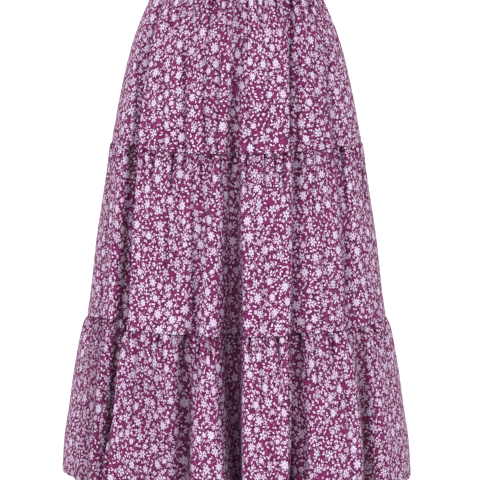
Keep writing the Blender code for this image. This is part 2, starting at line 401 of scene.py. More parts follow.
class Bench:
    """The node tree of one material, and the methods that add nodes to it."""

    def __init__(self, name: str) -> None:
        """Makes a material with only its Principled shader and output.

        Args:
            name: The material's name.
        """
        self.material = bpy.data.materials.new(name)
        self.material.use_nodes = True
        self.tree = self.material.node_tree
        self.shader = self.tree.nodes["Principled BSDF"]

    def feed(self, socket: bpy.types.NodeSocket, value: Input) -> None:
        """Links a signal to a socket, or sets the socket to a plain value.

        Args:
            socket: The input.
            value: A signal, a number, a vector or a colour.
        """
        if isinstance(value, Signal):
            self.tree.links.new(value.socket, socket)
        else:
            socket.default_value = value

    def node(
        self, kind: str, settings: dict[str, object], inputs: dict[Union[str, int], Input]
    ) -> bpy.types.Node:
        """Adds a node of any kind.

        Args:
            kind: The node's type.
            settings: Its settings, which are made first.
            inputs: The value or link of each socket, by number, identifier or name.

        Returns:
            The new node.
        """
        made = self.tree.nodes.new(kind)
        for name, value in settings.items():
            setattr(made, name, value)
        for key, value in inputs.items():
            if isinstance(key, int):
                socket = made.inputs[key]
            else:
                named = [s for s in made.inputs if s.identifier == key]
                socket = named[0] if named else made.inputs[key]
            self.feed(socket, value)
        return made

    def maths(self, operation: str, *values: Input) -> Signal:
        """Adds a Math node, or a Vector Math node where a value is a vector or colour.

        Args:
            operation: The node's operation.
            values: Its inputs.

        Returns:
            The result.
        """
        kinds = [v.socket.type if isinstance(v, Signal) else type(v) for v in values]
        if any(kind in ("VECTOR", "RGBA", tuple) for kind in kinds):
            plain = [(v, v, v) if isinstance(v, (int, float)) else v for v in values]
            inputs = dict(enumerate(plain))
            made = self.node("ShaderNodeVectorMath", {"operation": operation}, inputs)
            return Signal(self, made.outputs["Vector"])
        made = self.node("ShaderNodeMath", {"operation": operation}, dict(enumerate(values)))
        return Signal(self, made.outputs["Value"])

    def join(self, x: Input, y: Input, z: Input) -> Signal:
        """Joins three numbers into a vector."""
        made = self.node("ShaderNodeCombineXYZ", {}, {"X": x, "Y": y, "Z": z})
        return Signal(self, made.outputs["Vector"])

    def noise(self, at: Signal, scale: float, detail: float) -> Signal:
        """Adds a Noise texture of so many waves a metre, with values around 0.5."""
        inputs = {"Vector": at, "Scale": scale, "Detail": detail}
        made = self.node("ShaderNodeTexNoise", {"noise_dimensions": "2D"}, inputs)
        return Signal(self, made.outputs[0])

    def chances(self, at: Signal) -> tuple[Signal, Signal]:
        """Gives a fixed random number for each vector, from 0 to 1, and three more as a vector."""
        made = self.node("ShaderNodeTexWhiteNoise", {"noise_dimensions": "3D"}, {"Vector": at})
        return Signal(self, made.outputs["Value"]), Signal(self, made.outputs["Color"])

    def plain(self, colour: Colour) -> Signal:
        """Adds a plain colour.

        Args:
            colour: The colour.

        Returns:
            The colour's signal.
        """
        made = self.node("ShaderNodeRGB", {}, {})
        made.outputs[0].default_value = colour
        return Signal(self, made.outputs[0])


# Finishes


@dataclass(frozen=True)
class Scatter:
    """How one kind of motif is scattered: one in each cell of slipped rows, turned on the cloth."""

    cell: float
    share: float
    turn: float
    seed: float


@dataclass(frozen=True)
class Placed:
    """The motif at a point of the cloth: the point as seen from its middle, and its chances."""

    x: Signal
    y: Signal
    present: Signal
    first: Signal
    second: Signal
    third: Signal


@dataclass(frozen=True)
class Leaflet:
    """A leaf, bud or loose petal: a short pointed dash, plain or a little bent."""

    scatter: Scatter
    half_length: float
    half_width: float
    bend: float
    taper: float
    colour: Colour


@dataclass(frozen=True)
class Flower:
    """A flower of separate petals round a small eye."""

    scatter: Scatter
    radius: float
    petals: tuple[int, int]
    petal_width: float
    heart: float
    colour: Colour
    heart_colour: Colour


LILAC_WHITE = from_display(246, 236, 255)
LAVENDER_WHITE = from_display(234, 238, 255)
PINK_WHITE = from_display(254, 218, 246)
PINK_LILAC = from_display(228, 150, 208)
# The blue-grey printed in the flowers' hearts.
BLUE_GREY = from_display(208, 202, 236)
PETAL_EDGE = from_display(206, 116, 182)


@dataclass(frozen=True)
class DitsyPrint:
    """A dense scatter of small flowers, leaflets, buds and stems on a plain ground."""

    ground: Colour = from_display(154, 50, 118)
    halo_ground: Colour = from_display(98, 30, 76)
    deep_ground: Colour = from_display(60, 18, 48)
    eye_colour: Colour = from_display(84, 52, 92)
    leaf_halo: float = 0.0006
    petal_halo: float = 0.0009
    small_motifs: tuple[Leaflet, ...] = (
        Leaflet(Scatter(0.0150, 0.75, 0.45, 1.3), 0.0073, 0.00045, 55.0, 0.0, PINK_LILAC),
        Leaflet(Scatter(0.0088, 0.80, 1.10, 2.7), 0.0040, 0.00140, 45.0, 0.35, PINK_WHITE),
        Leaflet(Scatter(0.0082, 0.74, 2.05, 4.1), 0.0035, 0.00145, -40.0, 0.25, LILAC_WHITE),
        Leaflet(Scatter(0.0114, 0.70, 0.25, 5.9), 0.0048, 0.00140, 35.0, 0.40, PINK_WHITE),
        Leaflet(Scatter(0.0140, 0.50, 1.65, 7.3), 0.0034, 0.00230, 20.0, 0.30, PINK_WHITE),
    )
    flowers: tuple[Flower, ...] = (
        Flower(
            Scatter(0.0160, 0.56, 0.80, 8.9), 0.0058, (5, 6), 0.24, 0.14, LILAC_WHITE, PINK_LILAC
        ),
        Flower(Scatter(0.0205, 0.60, 2.45, 10.3), 0.0080, (5, 7), 0.20, 0.16, LILAC_WHITE, BLUE_GREY),
        Flower(
            Scatter(0.0240, 0.84, 1.35, 11.7), 0.0106, (5, 8), 0.19, 0.16, LAVENDER_WHITE, BLUE_GREY
        ),
    )

    def placed(self, at: Signal, scatter: Scatter, reach: float) -> Placed:
        """Finds the motif whose cell a point is in. A motif never crosses the edge of its cell.

        Args:
            at: The place on the flat cloth, in metres.
            scatter: How the motifs are scattered.
            reach: The motif's radius.

        Returns:
            The motif.
        """
        bench = at.bench
        inputs = {"Vector": at, "Angle": scatter.turn}
        turned = bench.node("ShaderNodeVectorRotate", {"rotation_type": "Z_AXIS"}, inputs)
        x, y, _ = (Signal(bench, turned.outputs["Vector"]) / scatter.cell).parts()
        row = bench.maths("FLOOR", y)
        slip, _ = bench.chances(bench.join(0.0, row, scatter.seed))
        x = x + 7.0 * slip
        column = bench.maths("FLOOR", x)
        chance, more = bench.chances(bench.join(column, row, scatter.seed + 0.5))
        first, second, third = more.parts()
        room = 1.0 - 2.0 * reach / scatter.cell
        _, places = bench.chances(bench.join(row, column, scatter.seed + 0.7))
        shift_x, shift_y, _ = places.parts()
        return Placed(
            (x - column - 0.5 - room * (shift_x - 0.5)) * scatter.cell,
            (y - row - 0.5 - room * (shift_y - 0.5)) * scatter.cell,
            chance < scatter.share,
            first,
            second,
            third,
        )

    def lay_leaflets(self, at: Signal, cloth: Signal, kind: Leaflet) -> Signal:
        """Prints one kind of leaflet.

        Args:
            at: The place on the flat cloth, in metres.
            cloth: The colour so far.
            kind: The leaflet.

        Returns:
            The colour with the leaflets on it.
        """
        bench = at.bench
        one = self.placed(at, kind.scatter, kind.half_length)
        turn = one.first * (2 * math.pi)
        cosine, sine = bench.maths("COSINE", turn), bench.maths("SINE", turn)
        along = one.x * cosine + one.y * sine
        side = one.y * cosine - one.x * sine + kind.bend * (one.second - 0.5) * along * along
        length = along / (kind.half_length * (0.60 + 0.40 * one.second))
        width = side / (kind.half_width * (0.80 + 0.35 * one.third - kind.taper * length))
        edge = length * length + width * width
        halo = (1 + self.leaf_halo / kind.half_width) ** 2
        cloth = cloth.under(edge.fade(halo, halo * 1.2) * one.present, self.deep_ground)
        cloth = cloth.under(edge.fade(0.9, 1.2) * one.present, PETAL_EDGE)
        return cloth.under(edge.fade(0.55, 0.80) * one.present, kind.colour)

    def lay_flowers(self, at: Signal, cloth: Signal, kind: Flower) -> Signal:
        """Prints one kind of flower.

        Args:
            at: The place on the flat cloth, in metres.
            cloth: The colour so far.
            kind: The flower.

        Returns:
            The colour with the flowers on it.
        """
        bench = at.bench
        one = self.placed(at, kind.scatter, kind.radius * 1.08)
        y = one.y / (0.76 + 0.24 * one.third)
        radius = (one.x * one.x + y * y) ** 0.5 / (kind.radius * (0.74 + 0.26 * one.first))
        fewest, most = kind.petals
        count = fewest + bench.maths("FLOOR", (most - fewest + 0.999) * one.second)
        sector = (2 * math.pi) / count
        turn = (bench.maths("ARCTAN2", y, one.x) + 2 * math.pi * (one.third + 1)) / sector
        petal = bench.maths("FLOOR", turn)
        lean = (turn - petal - 0.5) * sector
        own, _ = bench.chances(bench.join(petal, one.first, one.second))
        along = radius * bench.maths("COSINE", lean) / (0.68 + 0.36 * own)
        side = radius * bench.maths("SINE", lean) / (kind.petal_width * (0.90 + 0.15 * along))
        edge = bench.maths("ABSOLUTE", (along - 0.52) / 0.48) ** 1.6 + side * side
        halo = (1 + self.petal_halo / (kind.radius * kind.petal_width)) ** 2
        cloth = cloth.under(edge.fade(halo, halo * 1.2) * one.present, self.halo_ground)
        tinted = bench.plain(kind.colour).under(own.fade(0.25, 0.0) * 0.35, PINK_LILAC)
        tinted = tinted.under(radius.fade(kind.heart * 0.4, kind.heart * 1.4), kind.heart_colour)
        cloth = cloth.under(edge.fade(0.9, 1.2) * one.present, PETAL_EDGE)
        cloth = cloth.under(edge.fade(0.72, 0.95) * one.present, tinted)
        eye = radius.fade(0.10, 0.17) * one.present * one.second.fade(0.45, 0.55)
        return cloth.under(eye, self.eye_colour)

    def colour(self, at: Signal) -> Signal:
        """Prints the whole pattern.

        Args:
            at: The place on the flat cloth, in metres.

        Returns:
            The printed colour.
        """
        mottle = at.bench.noise(at, 120.0, 2.0).fade(0.35, 0.65)
        cloth = at.bench.plain(self.ground).under(mottle * 0.45, self.deep_ground)
        for leaflet in self.small_motifs:
            cloth = self.lay_leaflets(at, cloth, leaflet)
        for flower in self.flowers:
            cloth = self.lay_flowers(at, cloth, flower)
        return cloth


@dataclass(frozen=True)
class WovenCloth:
    """Light matt cloth with a fine plain weave."""

    roughness: float = 0.88
    specular: float = 0.18
    threads_a_metre: float = 3300.0
    weave_depth: float = 0.00005
    crinkle_depth: float = 0.00018

    def dress(self, at: Signal) -> None:
        """Gives a material the cloth's dull surface, its weave and fine crinkle.

        Args:
            at: The place on the flat cloth, in metres.
        """
        bench = at.bench
        bench.shader.inputs["Roughness"].default_value = self.roughness
        bench.shader.inputs["Specular IOR Level"].default_value = self.specular
        x, y, _ = (at * (self.threads_a_metre * math.pi)).parts()
        weave = bench.maths("SINE", x) * bench.maths("SINE", y)
        crinkle = bench.noise(at * (1.0, 0.35, 1.0), 150.0, 3.0)
        height = weave * self.weave_depth + crinkle * self.crinkle_depth
        inputs = {"Strength": 1.0, "Distance": 1.0, "Height": height}
        bump = bench.node("ShaderNodeBump", {}, inputs)
        bench.tree.links.new(bump.outputs["Normal"], bench.shader.inputs["Normal"])


@dataclass(frozen=True)
class SkirtCloth:
    """The printed cloth's right side, with painted shade in its folds, and its paler wrong side."""

    pattern: DitsyPrint = DitsyPrint()
    weave: WovenCloth = WovenCloth()
    wrong_side_tint: Colour = from_display(176, 116, 156)
    show_through: float = 0.45
    # The painted shade: how far it darkens the print at most, and the powers that tint it magenta.
    painted_darkening_max: float = 0.98
    shade_powers: tuple[float, float, float] = (1.0, 1.22, 1.08)

    def make(self, name: str, wrong_side: bool) -> bpy.types.Material:
        """Makes one side's material.

        Args:
            name: The material's name.
            wrong_side: Whether this is the cloth's back, where the print only shows through.

        Returns:
            The material.
        """
        bench = Bench(name)
        place = bench.node("ShaderNodeUVMap", {"uv_map": "flat_cloth"}, {})
        at = Signal(bench, place.outputs["UV"])
        printed = self.pattern.colour(at)
        if wrong_side:
            printed = printed.under(1 - self.show_through, self.wrong_side_tint)
        else:
            # Painted shade: the print is darkened by the shade painted on the points, in folds,
            # gathers, creases and under the seams.
            depth = bench.node("ShaderNodeAttribute", {"attribute_name": "painted_shade"}, {})
            light = 1.0 - Signal(bench, depth.outputs["Fac"]) * self.painted_darkening_max
            printed = printed * bench.join(*[light**power for power in self.shade_powers])
        bench.feed(bench.shader.inputs["Base Color"], printed)
        self.weave.dress(at)
        bench.material.diffuse_color = self.wrong_side_tint
        return bench.material


@dataclass(frozen=True)
class Thread:
    """Twisted sewing thread."""

    colour: Colour = from_display(136, 58, 104)
    dark_colour: Colour = from_display(104, 40, 78)
    twists_a_metre: float = 1800.0
    roughness: float = 0.6

    def make(self, name: str) -> bpy.types.Material:
        """Makes the thread's material.

        Args:
            name: The material's name.

        Returns:
            The material.
        """
        bench = Bench(name)
        place = bench.node("ShaderNodeTexCoord", {}, {})
        x, y, z = Signal(bench, place.outputs["Object"]).parts()
        ply = bench.maths("SINE", (x + y + z) * (self.twists_a_metre * math.pi))
        twisted = bench.plain(self.colour).under(ply.fade(1.0, -1.0), self.dark_colour)
        bench.feed(bench.shader.inputs["Base Color"], twisted)
        bench.shader.inputs["Roughness"].default_value = self.roughness
        return bench.material


# Cloth pieces


@dataclass(frozen=True)
class Gathers:
    """The gathers under a seam, counted round the whole skirt."""

    count: int
    depth: float
    spread: float
    seed: int


@dataclass(frozen=True)
class Crease:
    """A soft trough on one half of a tier, placed one by one. Its sizes are in millimetres.

    Its top and foot are given by how far they are from the middle, towards +X, and how far they
    are below the seam. The widths are half widths, towards -X and towards +X.
    """

    top_across: float
    foot_across: float
    top: float
    foot: float
    width_before: float
    width_after: float
    depth: float
    # How dark the painted shade along its bottom is, from 0 to 1.
    shade: float


def crease_rows(*rows: tuple[float, ...]) -> tuple[Crease, ...]:
    """Makes creases from rows of numbers, in the order of the fields of Crease."""
    return tuple(Crease(*row) for row in rows)


UPPER_GATHERS = Gathers(52, 0.0060, 0.060, 3)
MIDDLE_GATHERS = Gathers(62, 0.0085, 0.040, 11)
LOWER_GATHERS = Gathers(70, 0.0095, 0.040, 23)
# The last number in each crease row is its painted shade.
UPPER_CREASES = {
    Side.FRONT: crease_rows(
        (15, 16, 0, 124, 1.4, 1.2, 4.0, 0.92), (-1, -5, 100, 252, 4.5, 2.4, 3.0, 0.26),
        (85, 85, 0, 252, 2.2, 2.0, 3.5, 0.72), (-81, -79, 52, 252, 2.2, 2.2, 2.5, 0.52),
        (-52, -47, 68, 252, 2.0, 2.4, 2.5, 0.55), (-27, -30, 84, 252, 2.4, 2.0, 2.5, 0.52),
        (-113, -112, 100, 252, 2.0, 2.0, 2.0, 0.38), (49, 45, 68, 252, 1.8, 1.8, 2.0, 0.24),
        (146, 138, 52, 252, 2.0, 2.0, 2.5, 0.43), (126, 119, 68, 252, 1.8, 1.8, 2.0, 0.26),
        (-149, -159, 68, 252, 2.4, 2.2, 2.5, 0.49), (-134, -141, 20, 252, 1.6, 1.6, 2.0, 0.29),
        (18, 16, 124, 252, 1.6, 1.4, 2.0, 0.38), (95, 93, 84, 252, 1.6, 1.6, 2.0, 0.38),
        (-16, -16, 0, 100, 1.6, 1.6, 3.0, 0.58), (-40, -42, 0, 76, 1.4, 1.4, 3.0, 0.61),
        (-64, -69, 0, 68, 1.4, 1.4, 3.0, 0.52), (41, 42, 0, 76, 1.4, 1.4, 3.0, 0.61),
        (61, 66, 0, 92, 1.4, 1.4, 3.0, 0.52), (112, 118, 0, 76, 1.4, 1.4, 3.0, 0.58),
        (-101, -103, 0, 84, 1.4, 1.4, 3.0, 0.52),
    ),
    Side.BACK: crease_rows(
        (-8, -12, 0, 252, 2.2, 1.6, 3.5, 0.67), (34, 40, 0, 118, 1.5, 1.5, 3.0, 0.52),
        (78, 92, 46, 252, 2.2, 2.0, 2.5, 0.46), (-61, -70, 30, 252, 2.0, 2.4, 2.5, 0.49),
        (-98, -110, 0, 140, 1.6, 1.6, 2.5, 0.43), (118, 135, 60, 252, 2.0, 2.0, 2.5, 0.41),
        (-130, -150, 80, 252, 2.0, 2.0, 2.0, 0.35), (12, 16, 90, 252, 1.8, 1.8, 2.0, 0.32),
        (54, 52, 0, 60, 1.4, 1.4, 3.0, 0.55), (-34, -37, 0, 72, 1.4, 1.4, 3.0, 0.58),
    ),
}
MIDDLE_CREASES = {
    Side.FRONT: crease_rows(
        (-160, -177, 0, 276, 8.0, 2.2, 6.0, 0.62), (-97, -102, 0, 74, 2.4, 1.5, 4.0, 0.90),
        (-103, -112, 66, 233, 3.2, 2.6, 2.5, 0.28), (-68, -65, 0, 276, 2.4, 3.2, 3.0, 0.34),
        (-53, -53, 0, 74, 1.6, 1.6, 3.0, 0.64), (-24, -16, 0, 66, 2.0, 1.8, 3.0, 0.61),
        (16, 13, 0, 66, 1.2, 1.2, 3.5, 0.75), (59, 62, 0, 42, 1.7, 1.5, 3.5, 0.84),
        (74, 71, 0, 66, 1.7, 1.5, 3.5, 0.75), (97, 91, 0, 106, 3.0, 2.0, 4.0, 0.40),
        (91, 89, 90, 276, 3.4, 2.6, 3.0, 0.12), (119, 117, 0, 130, 1.7, 1.7, 3.0, 0.44),
        (164, 172, 0, 114, 2.2, 1.8, 3.5, 0.70), (173, 168, 98, 276, 3.0, 2.4, 2.5, 0.24),
        (194, 206, 0, 122, 1.8, 1.4, 3.0, 0.61), (138, 131, 58, 276, 2.0, 2.0, 2.0, 0.25),
        (-129, -133, 0, 74, 1.6, 1.6, 3.0, 0.52), (-144, -139, 0, 58, 1.5, 1.4, 3.0, 0.49),
        (44, 46, 0, 74, 1.6, 1.6, 2.5, 0.46), (-80, -83, 0, 31, 1.5, 1.4, 3.0, 0.52),
        (7, 8, 130, 276, 1.6, 1.2, 2.0, 0.43), (42, 42, 122, 276, 2.2, 2.0, 2.0, 0.26),
        (151, 144, 0, 31, 1.4, 1.4, 2.5, 0.46), (-197, -211, 0, 276, 2.4, 2.0, 2.0, 0.29),
    ),
    Side.BACK: crease_rows(
        (-40, -46, 0, 276, 3.4, 2.6, 3.5, 0.46), (-86, -92, 0, 88, 2.0, 1.6, 3.5, 0.72),
        (-118, -131, 40, 250, 3.0, 2.4, 2.5, 0.28), (10, 14, 0, 96, 1.6, 1.6, 3.0, 0.64),
        (38, 30, 0, 52, 1.5, 1.5, 3.0, 0.72), (63, 70, 0, 276, 3.2, 2.8, 3.0, 0.34),
        (102, 104, 0, 70, 1.6, 1.6, 3.0, 0.67), (134, 146, 0, 210, 2.2, 2.0, 3.0, 0.49),
        (168, 181, 0, 276, 4.6, 2.4, 4.0, 0.42), (-151, -160, 0, 64, 1.6, 1.5, 3.0, 0.58),
        (-10, -6, 110, 276, 2.2, 2.2, 2.0, 0.29), (-176, -196, 20, 276, 2.4, 2.0, 2.0, 0.35),
    ),
}
LOWER_CREASES = {
    Side.FRONT: crease_rows(
        (-181, -203, 0, 250, 4.5, 1.4, 6.0, 0.62), (-157, -159, 0, 135, 1.9, 1.7, 3.0, 0.49),
        (-113, -115, 0, 59, 1.6, 1.5, 3.0, 0.52), (-83, -76, 0, 250, 9.0, 9.0, 4.0, 0.46),
        (-60, -58, 0, 80, 1.5, 1.5, 3.0, 0.49), (-39, -39, 0, 46, 1.9, 1.6, 3.0, 0.72),
        (20, 20, 0, 43, 1.5, 1.4, 3.0, 0.52), (80, 81, 0, 250, 1.0, 4.4, 5.0, 0.50),
        (95, 96, 0, 111, 3.0, 3.0, 3.5, 0.42), (101, 105, 95, 250, 5.5, 4.5, 3.5, 0.34),
        (118, 127, 0, 119, 1.7, 1.6, 2.5, 0.49), (151, 152, 0, 59, 1.9, 1.6, 3.0, 0.70),
        (197, 204, 0, 250, 7.0, 7.0, 4.0, 0.44), (-214, -236, 0, 250, 16.0, 10.0, 3.0, 0.38),
        (-143, -145, 0, 135, 1.5, 1.5, 2.5, 0.38), (-130, -130, 0, 103, 1.4, 1.4, 2.5, 0.38),
        (40, 38, 0, 143, 1.6, 1.6, 2.5, 0.41), (54, 53, 88, 250, 1.8, 1.8, 2.0, 0.26),
        (163, 176, 40, 183, 2.2, 2.0, 2.0, 0.32), (216, 213, 0, 167, 1.8, 1.8, 2.5, 0.38),
        (-22, -22, 0, 40, 1.4, 1.4, 2.5, 0.55), (61, 63, 0, 37, 1.4, 1.4, 2.5, 0.55),
        (234, 245, 0, 135, 1.6, 1.6, 2.0, 0.38), (-133, -137, 20, 250, 38.0, 34.0, 1.0, 0.16),
    ),
    Side.BACK: crease_rows(
        (-24, -20, 0, 250, 5.5, 5.0, 4.0, 0.38), (-58, -62, 0, 74, 1.7, 1.6, 3.0, 0.61),
        (-96, -104, 0, 250, 1.4, 4.2, 4.5, 0.46), (-131, -138, 0, 96, 1.8, 1.6, 3.0, 0.49),
        (-170, -190, 0, 250, 4.4, 1.6, 5.0, 0.50), (22, 27, 0, 58, 1.6, 1.6, 3.0, 0.64),
        (52, 60, 30, 250, 2.6, 2.2, 2.5, 0.38), (88, 92, 0, 250, 6.5, 6.0, 4.0, 0.36),
        (124, 131, 0, 82, 1.6, 1.6, 3.0, 0.58), (158, 176, 0, 250, 1.6, 4.0, 4.5, 0.44),
        (205, 224, 0, 150, 2.2, 2.0, 2.5, 0.41), (-212, -232, 0, 160, 2.4, 2.0, 2.5, 0.38),
    ),
}


def uneven(index: int, seed: int) -> float:
    """Gives a fixed number from -1 to 1, by its place in a numbered series."""
    turn = math.sin(index * 12.9898 + seed * 78.233) * 43758.5453
    return 2 * (turn - math.floor(turn)) - 1


def outward(path: Array) -> Array:
    """Gives the outward directions in plan along a row of points, which runs to the right."""
    run = np.gradient(path[:, :2], axis=0)
    out = np.stack([run[:, 1], -run[:, 0]], axis=1)
    return out / np.linalg.norm(out, axis=1, keepdims=True)


def sheet_mesh(name: str, points: Array, flat: Array, shade: Array) -> bpy.types.Object:
    """Makes a mesh object from a grid of points, with its flat cloth as a UV map.

    Args:
        name: The object's name.
        points: Rows and columns of points, the columns running to the right as seen from outside.
        flat: Where each point lies on the flat cloth, in metres.
        shade: The painted shade at each point, from 0 to 1.

    Returns:
        The new object, smooth shaded.
    """
    rows, columns = points.shape[:2]
    index = np.arange(rows * columns).reshape(rows, columns)
    quads = np.stack([index[:-1, :-1], index[1:, :-1], index[1:, 1:], index[:-1, 1:]], axis=2)
    quads = quads.reshape(-1, 4)
    corners = quads.reshape(-1)
    mesh = bpy.data.meshes.new(name)
    mesh.vertices.add(rows * columns)
    mesh.vertices.foreach_set("co", points.reshape(-1).astype(np.float32))
    mesh.loops.add(quads.size)
    mesh.loops.foreach_set("vertex_index", corners.astype(np.int32))
    mesh.polygons.add(len(quads))
    mesh.polygons.foreach_set("loop_start", (np.arange(len(quads)) * 4).astype(np.int32))
    mesh.update(calc_edges=True)
    layer = mesh.uv_layers.new(name="flat_cloth")
    layer.data.foreach_set("uv", flat.reshape(-1, 2)[corners].reshape(-1).astype(np.float32))
    # Painted shade: how much darker the print is painted at each point, where folds, gathers,
    # creases and seams lie in shade.
    depth = mesh.attributes.new("painted_shade", "FLOAT", "POINT")
    depth.data.foreach_set("value", shade.reshape(-1).astype(np.float32))
    mesh.validate()
    mesh.shade_smooth()
    made = bpy.data.objects.new(name, mesh)
    bpy.context.scene.collection.objects.link(made)
    return made


def thicken(piece: bpy.types.Object) -> None:
    """Gives a sheet the cloth's thickness, inwards, with its second material on the inside.

    Args:
        piece: The sheet.
    """
    bpy.ops.object.select_all(action="DESELECT")
    piece.select_set(True)
    bpy.context.view_layer.objects.active = piece
    solid = piece.modifiers.new("thickness", "SOLIDIFY")
    solid.thickness = CLOTH_THICKNESS
    solid.offset = -1.0
    solid.use_rim = True
    solid.material_offset = 1
    solid.material_offset_rim = 1
    bpy.ops.object.modifier_apply(modifier=solid.name)
    bpy.ops.object.shade_smooth_by_angle(angle=math.radians(70))


def finish_sheet(
    part: str, side: Side, grid: Grid, sides: ClothSides
) -> bpy.types.Object:
    """Makes one half of a sewn part from its grid, fixes it to the root and hides the imported
    part.

    Args:
        part: The part's name.
        side: Which half.
        grid: Its points, where they lie on the flat cloth and their painted shade.
        sides: The cloth's right and wrong side.

    Returns:
        The finished piece.
    """
    piece = sheet_mesh(f"{part}_cloth_{side.value}", *grid)
    for material in sides:
        piece.data.materials.append(material)
    thicken(piece)
    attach(piece, "root")
    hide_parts(f"{part}_{side.value}")
    log.info("%s: %d faces", piece.name, len(piece.data.polygons))
    return piece


@dataclass
class GatheredTier:
    """One tier: a strip of cloth, gathered along its top and sewn at both sides."""

    name: str
    level: int
    cut_width: float
    gathers: Gathers
    columns: int
    fine_depth: float
    creases: dict[Side, tuple[Crease, ...]]
    top_insets: Span = (0.0044, 0.0036)
    close_rows: Span = (0.030, 0.014)
    puff: float = 0.0022
    puff_drop: float = 0.014
    seam_tuck: float = 0.0014
    hem_tuck: float = 0.0005
    side_tuck: float = 0.0004
    side_tuck_width: float = 0.0016
    allowance: float = 0.008
    fold_back: float = 0.0015
    hem_turn: float = 0.012
    hem_lift: float = 0.06
    gather_rise: float = 0.0032
    trough_width: float = 0.0034
    # The width of the painted dark lines along the gathers.
    line_width: float = 0.0017
    side_ease: float = 0.009
    # The painted shade in the folds, from a shallow to the deepest fold, and the painted dark line
    # under the seam.
    fold_shade: float = 0.45
    shallow_fold: float = 0.010
    deepest_fold: float = 0.055
    seam_shade: float = 0.5
    seam_shade_drop: float = 0.0018
    stray: float = 0.24
    ripple_count: int = 14
    densest_bunch: float = 0.82
    print_shift: Span = (2.3, 0.61)
    back_shift: float = 1.1
    hem_row: int = -9

    @property
    def sewn_below(self) -> bool:
        """Whether another tier is sewn to this one's foot, which is otherwise the hem."""
        return self.level < 2

    @property
    def length(self) -> float:
        """How long the tier hangs."""
        return LEVELS[self.level] - LEVELS[self.level + 1]

    @property
    def half(self) -> float:
        """The cut width of one half."""
        return self.cut_width / 2

    @property
    def flat(self) -> Array:
        """Where each column lies on the flat cloth."""
        return np.linspace(0, self.half, self.columns)

    @property
    def from_sides(self) -> Array:
        """How far each column is from the nearer side seam, on the flat cloth."""
        return np.minimum(self.flat, self.half - self.flat)

    @property
    def drops(self) -> Array:
        """How far each row is below the top seam. The rows are close near both seams."""
        top, foot = self.close_rows
        upper = np.linspace(0, top, 19)
        middle = np.linspace(top, self.length - foot, 28)
        lower = np.linspace(self.length - foot, self.length, 8)
        return np.concatenate([upper, middle[1:], lower[1:]])

    def main_place(self, j: int) -> float:
        """Gives the place of a main gather along the half, from 0 to 1."""
        return (j + 0.5 + self.stray * uneven(j, self.gathers.seed)) / (self.gathers.count // 2)

    def places(self) -> list[tuple[float, float, float, float]]:
        """Lists the gathers of one half: the main ones, and a finer one between each two.

        Returns:
            The place along the half from 0 to 1, the depth, the spread and the width of each.
        """
        count = self.gathers.count // 2
        seed = self.gathers.seed
        listed = []
        for j in range(count):
            depth = self.gathers.depth * (1 + 0.35 * uneven(j, seed + 1))
            spread = self.gathers.spread * (1 + 0.6 * uneven(j, seed + 2))
            width = self.trough_width * (1 + 0.3 * uneven(j, seed + 3))
            listed.append((self.main_place(j), depth, spread, width))
            place = (j + 1.0 + self.stray * uneven(j, seed + 4)) / count
            depth = self.fine_depth * (1 + 0.55 * uneven(j, seed + 5))
            spread = 0.55 * self.gathers.spread * (1 + 0.6 * uneven(j, seed + 6))
            if place < 0.985:
                listed.append((place, depth, spread, 0.7 * self.trough_width))
        return listed

    def relief(self) -> tuple[Array, Array]:
        """Works out how the gathers push the cloth, and how much of it they take up.

        Returns:
            At each row and column, the push outwards and the take-up from 0 to 1.
        """
        flat, below = self.flat, self.drops[:, None]
        push = np.zeros((len(below), len(flat)))
        take = np.zeros_like(push)
        start = 0.40 + 0.60 * (1 - bell(below, self.gather_rise, 1))
        for place, depth, spread, width in self.places():
            away = np.abs(flat - place * self.half)[None, :]
            fade = bell(below, spread, 1.4)
            wide = width * (1 + 1.6 * below / spread)
            push -= depth * start * fade * bell(away, wide, 1.2)
            take += fade * bell(away, wide)
        ends = 1 - bell(self.from_sides, self.side_ease)
        return push * ends[None, :], np.minimum(take, 1)

    def painted_gather_lines(self, laid: Array) -> Array:
        """Works out the painted shade: dark lines painted along the narrow gathers under the seam.

        Args:
            laid: How far along its ring each column is at each row.

        Returns:
            The painted shade at each row and column, from 0 to 1.
        """
        flat, below = self.flat, self.drops
        light = np.ones_like(laid)
        for index, (place, depth, spread, _) in enumerate(self.places()):
            strength = min(depth / self.gathers.depth, 1.0)
            strength *= 0.68 + 0.32 * uneven(index, self.gathers.seed + 9)
            fade = strength * bell(below, 0.6 * spread, 1.5)
            wide = self.line_width * (1 + 0.8 * below / spread)
            for row in np.flatnonzero(fade > 0.01):
                away = laid[row] - np.interp(place * self.half, flat, laid[row])
                light[row] *= 1 - fade[row] * bell(away, wide[row])
        return 1 - light

    def ripples(self, side: Side) -> Array:
        """Adds long shallow waves that run down from the gathers, quiet at the seams.

        Args:
            side: Which half, so that the two differ.

        Returns:
            The push outwards at each row and column.
        """
        rng = np.random.default_rng(self.gathers.seed + (0 if side is Side.FRONT else 50))
        flat, below = self.flat, self.drops[:, None]
        push = np.zeros((len(below), len(flat)))
        for _ in range(self.ripple_count):
            wave = rng.uniform(0.030, 0.085)
            slant = rng.uniform(-0.25, 0.25)
            turn = rng.uniform(0, 2 * math.pi)
            high = rng.uniform(0.15, 0.42) * wave / 60
            swell = 0.5 + 0.5 * np.sin(below * rng.uniform(8, 22) + rng.uniform(0, 6))
            run = (flat[None, :] + slant * below) * 2 * math.pi / wave
            push += high * swell * np.sin(run + turn)
        push = push * (1 - bell(below, 0.03, 1))
        push = push * (1 - bell(self.from_sides, 0.03))[None, :]
        return push * (1 - bell(self.length - below, 0.02, 1)) if self.sewn_below else push

